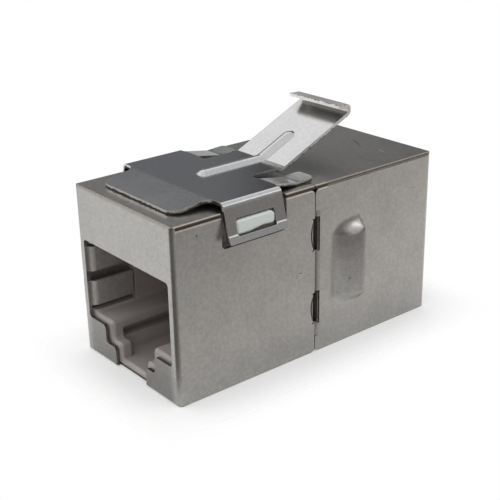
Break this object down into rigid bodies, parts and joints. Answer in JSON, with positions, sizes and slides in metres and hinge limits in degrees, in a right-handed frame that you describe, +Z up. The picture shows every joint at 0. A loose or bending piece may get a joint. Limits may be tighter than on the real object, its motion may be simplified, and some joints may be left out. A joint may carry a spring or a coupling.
{
  "type": "ethernet inline coupler",
  "caption": "Shielded inline coupler that joins two network leads, with folded metal shells, a stepped port at each end and a sprung release lever for snapping into a panel cut-out.",
  "frame": {"origin": "middle of the underside of the metal body", "axes": "+Z up, towards the release lever; -Y out of the front port, which is nearer the clip's tabs; +X to the right seen from the front port"},
  "size_m": [0.0164, 0.0298, 0.0211],
  "materials": {
    "shell_nickel": "satin nickel plate",
    "clip_steel": "bright spring steel",
    "housing_plastic": "moulded, satin",
    "carrier_plastic": "moulded, matt",
    "board_laminate": "glass-filled laminate",
    "contact_gold": "gold plate"
  },
  "bodies": {
    "coupler": {"front_shield": "shell_nickel", "rear_shield": "shell_nickel", "spring_clip": "clip_steel", "front_jack_housing": "housing_plastic", "rear_jack_housing": "housing_plastic", "front_contact_carrier": "carrier_plastic", "rear_contact_carrier": "carrier_plastic", "circuit_board": "board_laminate", "front_contact_1": "contact_gold", "front_contact_2": "contact_gold", "front_contact_3": "contact_gold", "front_contact_4": "contact_gold", "front_contact_5": "contact_gold", "front_contact_6": "contact_gold", "front_contact_7": "contact_gold", "front_contact_8": "contact_gold", "rear_contact_1": "contact_gold", "rear_contact_2": "contact_gold", "rear_contact_3": "contact_gold", "rear_contact_4": "contact_gold", "rear_contact_5": "contact_gold", "rear_contact_6": "contact_gold", "rear_contact_7": "contact_gold", "rear_contact_8": "contact_gold"},
    "lever": {"release_lever": "clip_steel"}
  },
  "joints": [
    {"name": "lever_press", "type": "hinge", "parent": "coupler", "child": "lever", "pos_m": [0, 0.0002, 0.01661], "axis": [-1, 0, 0], "range_deg": [0, 23], "stiffness_Nm_per_rad": 0.12}
  ]
}
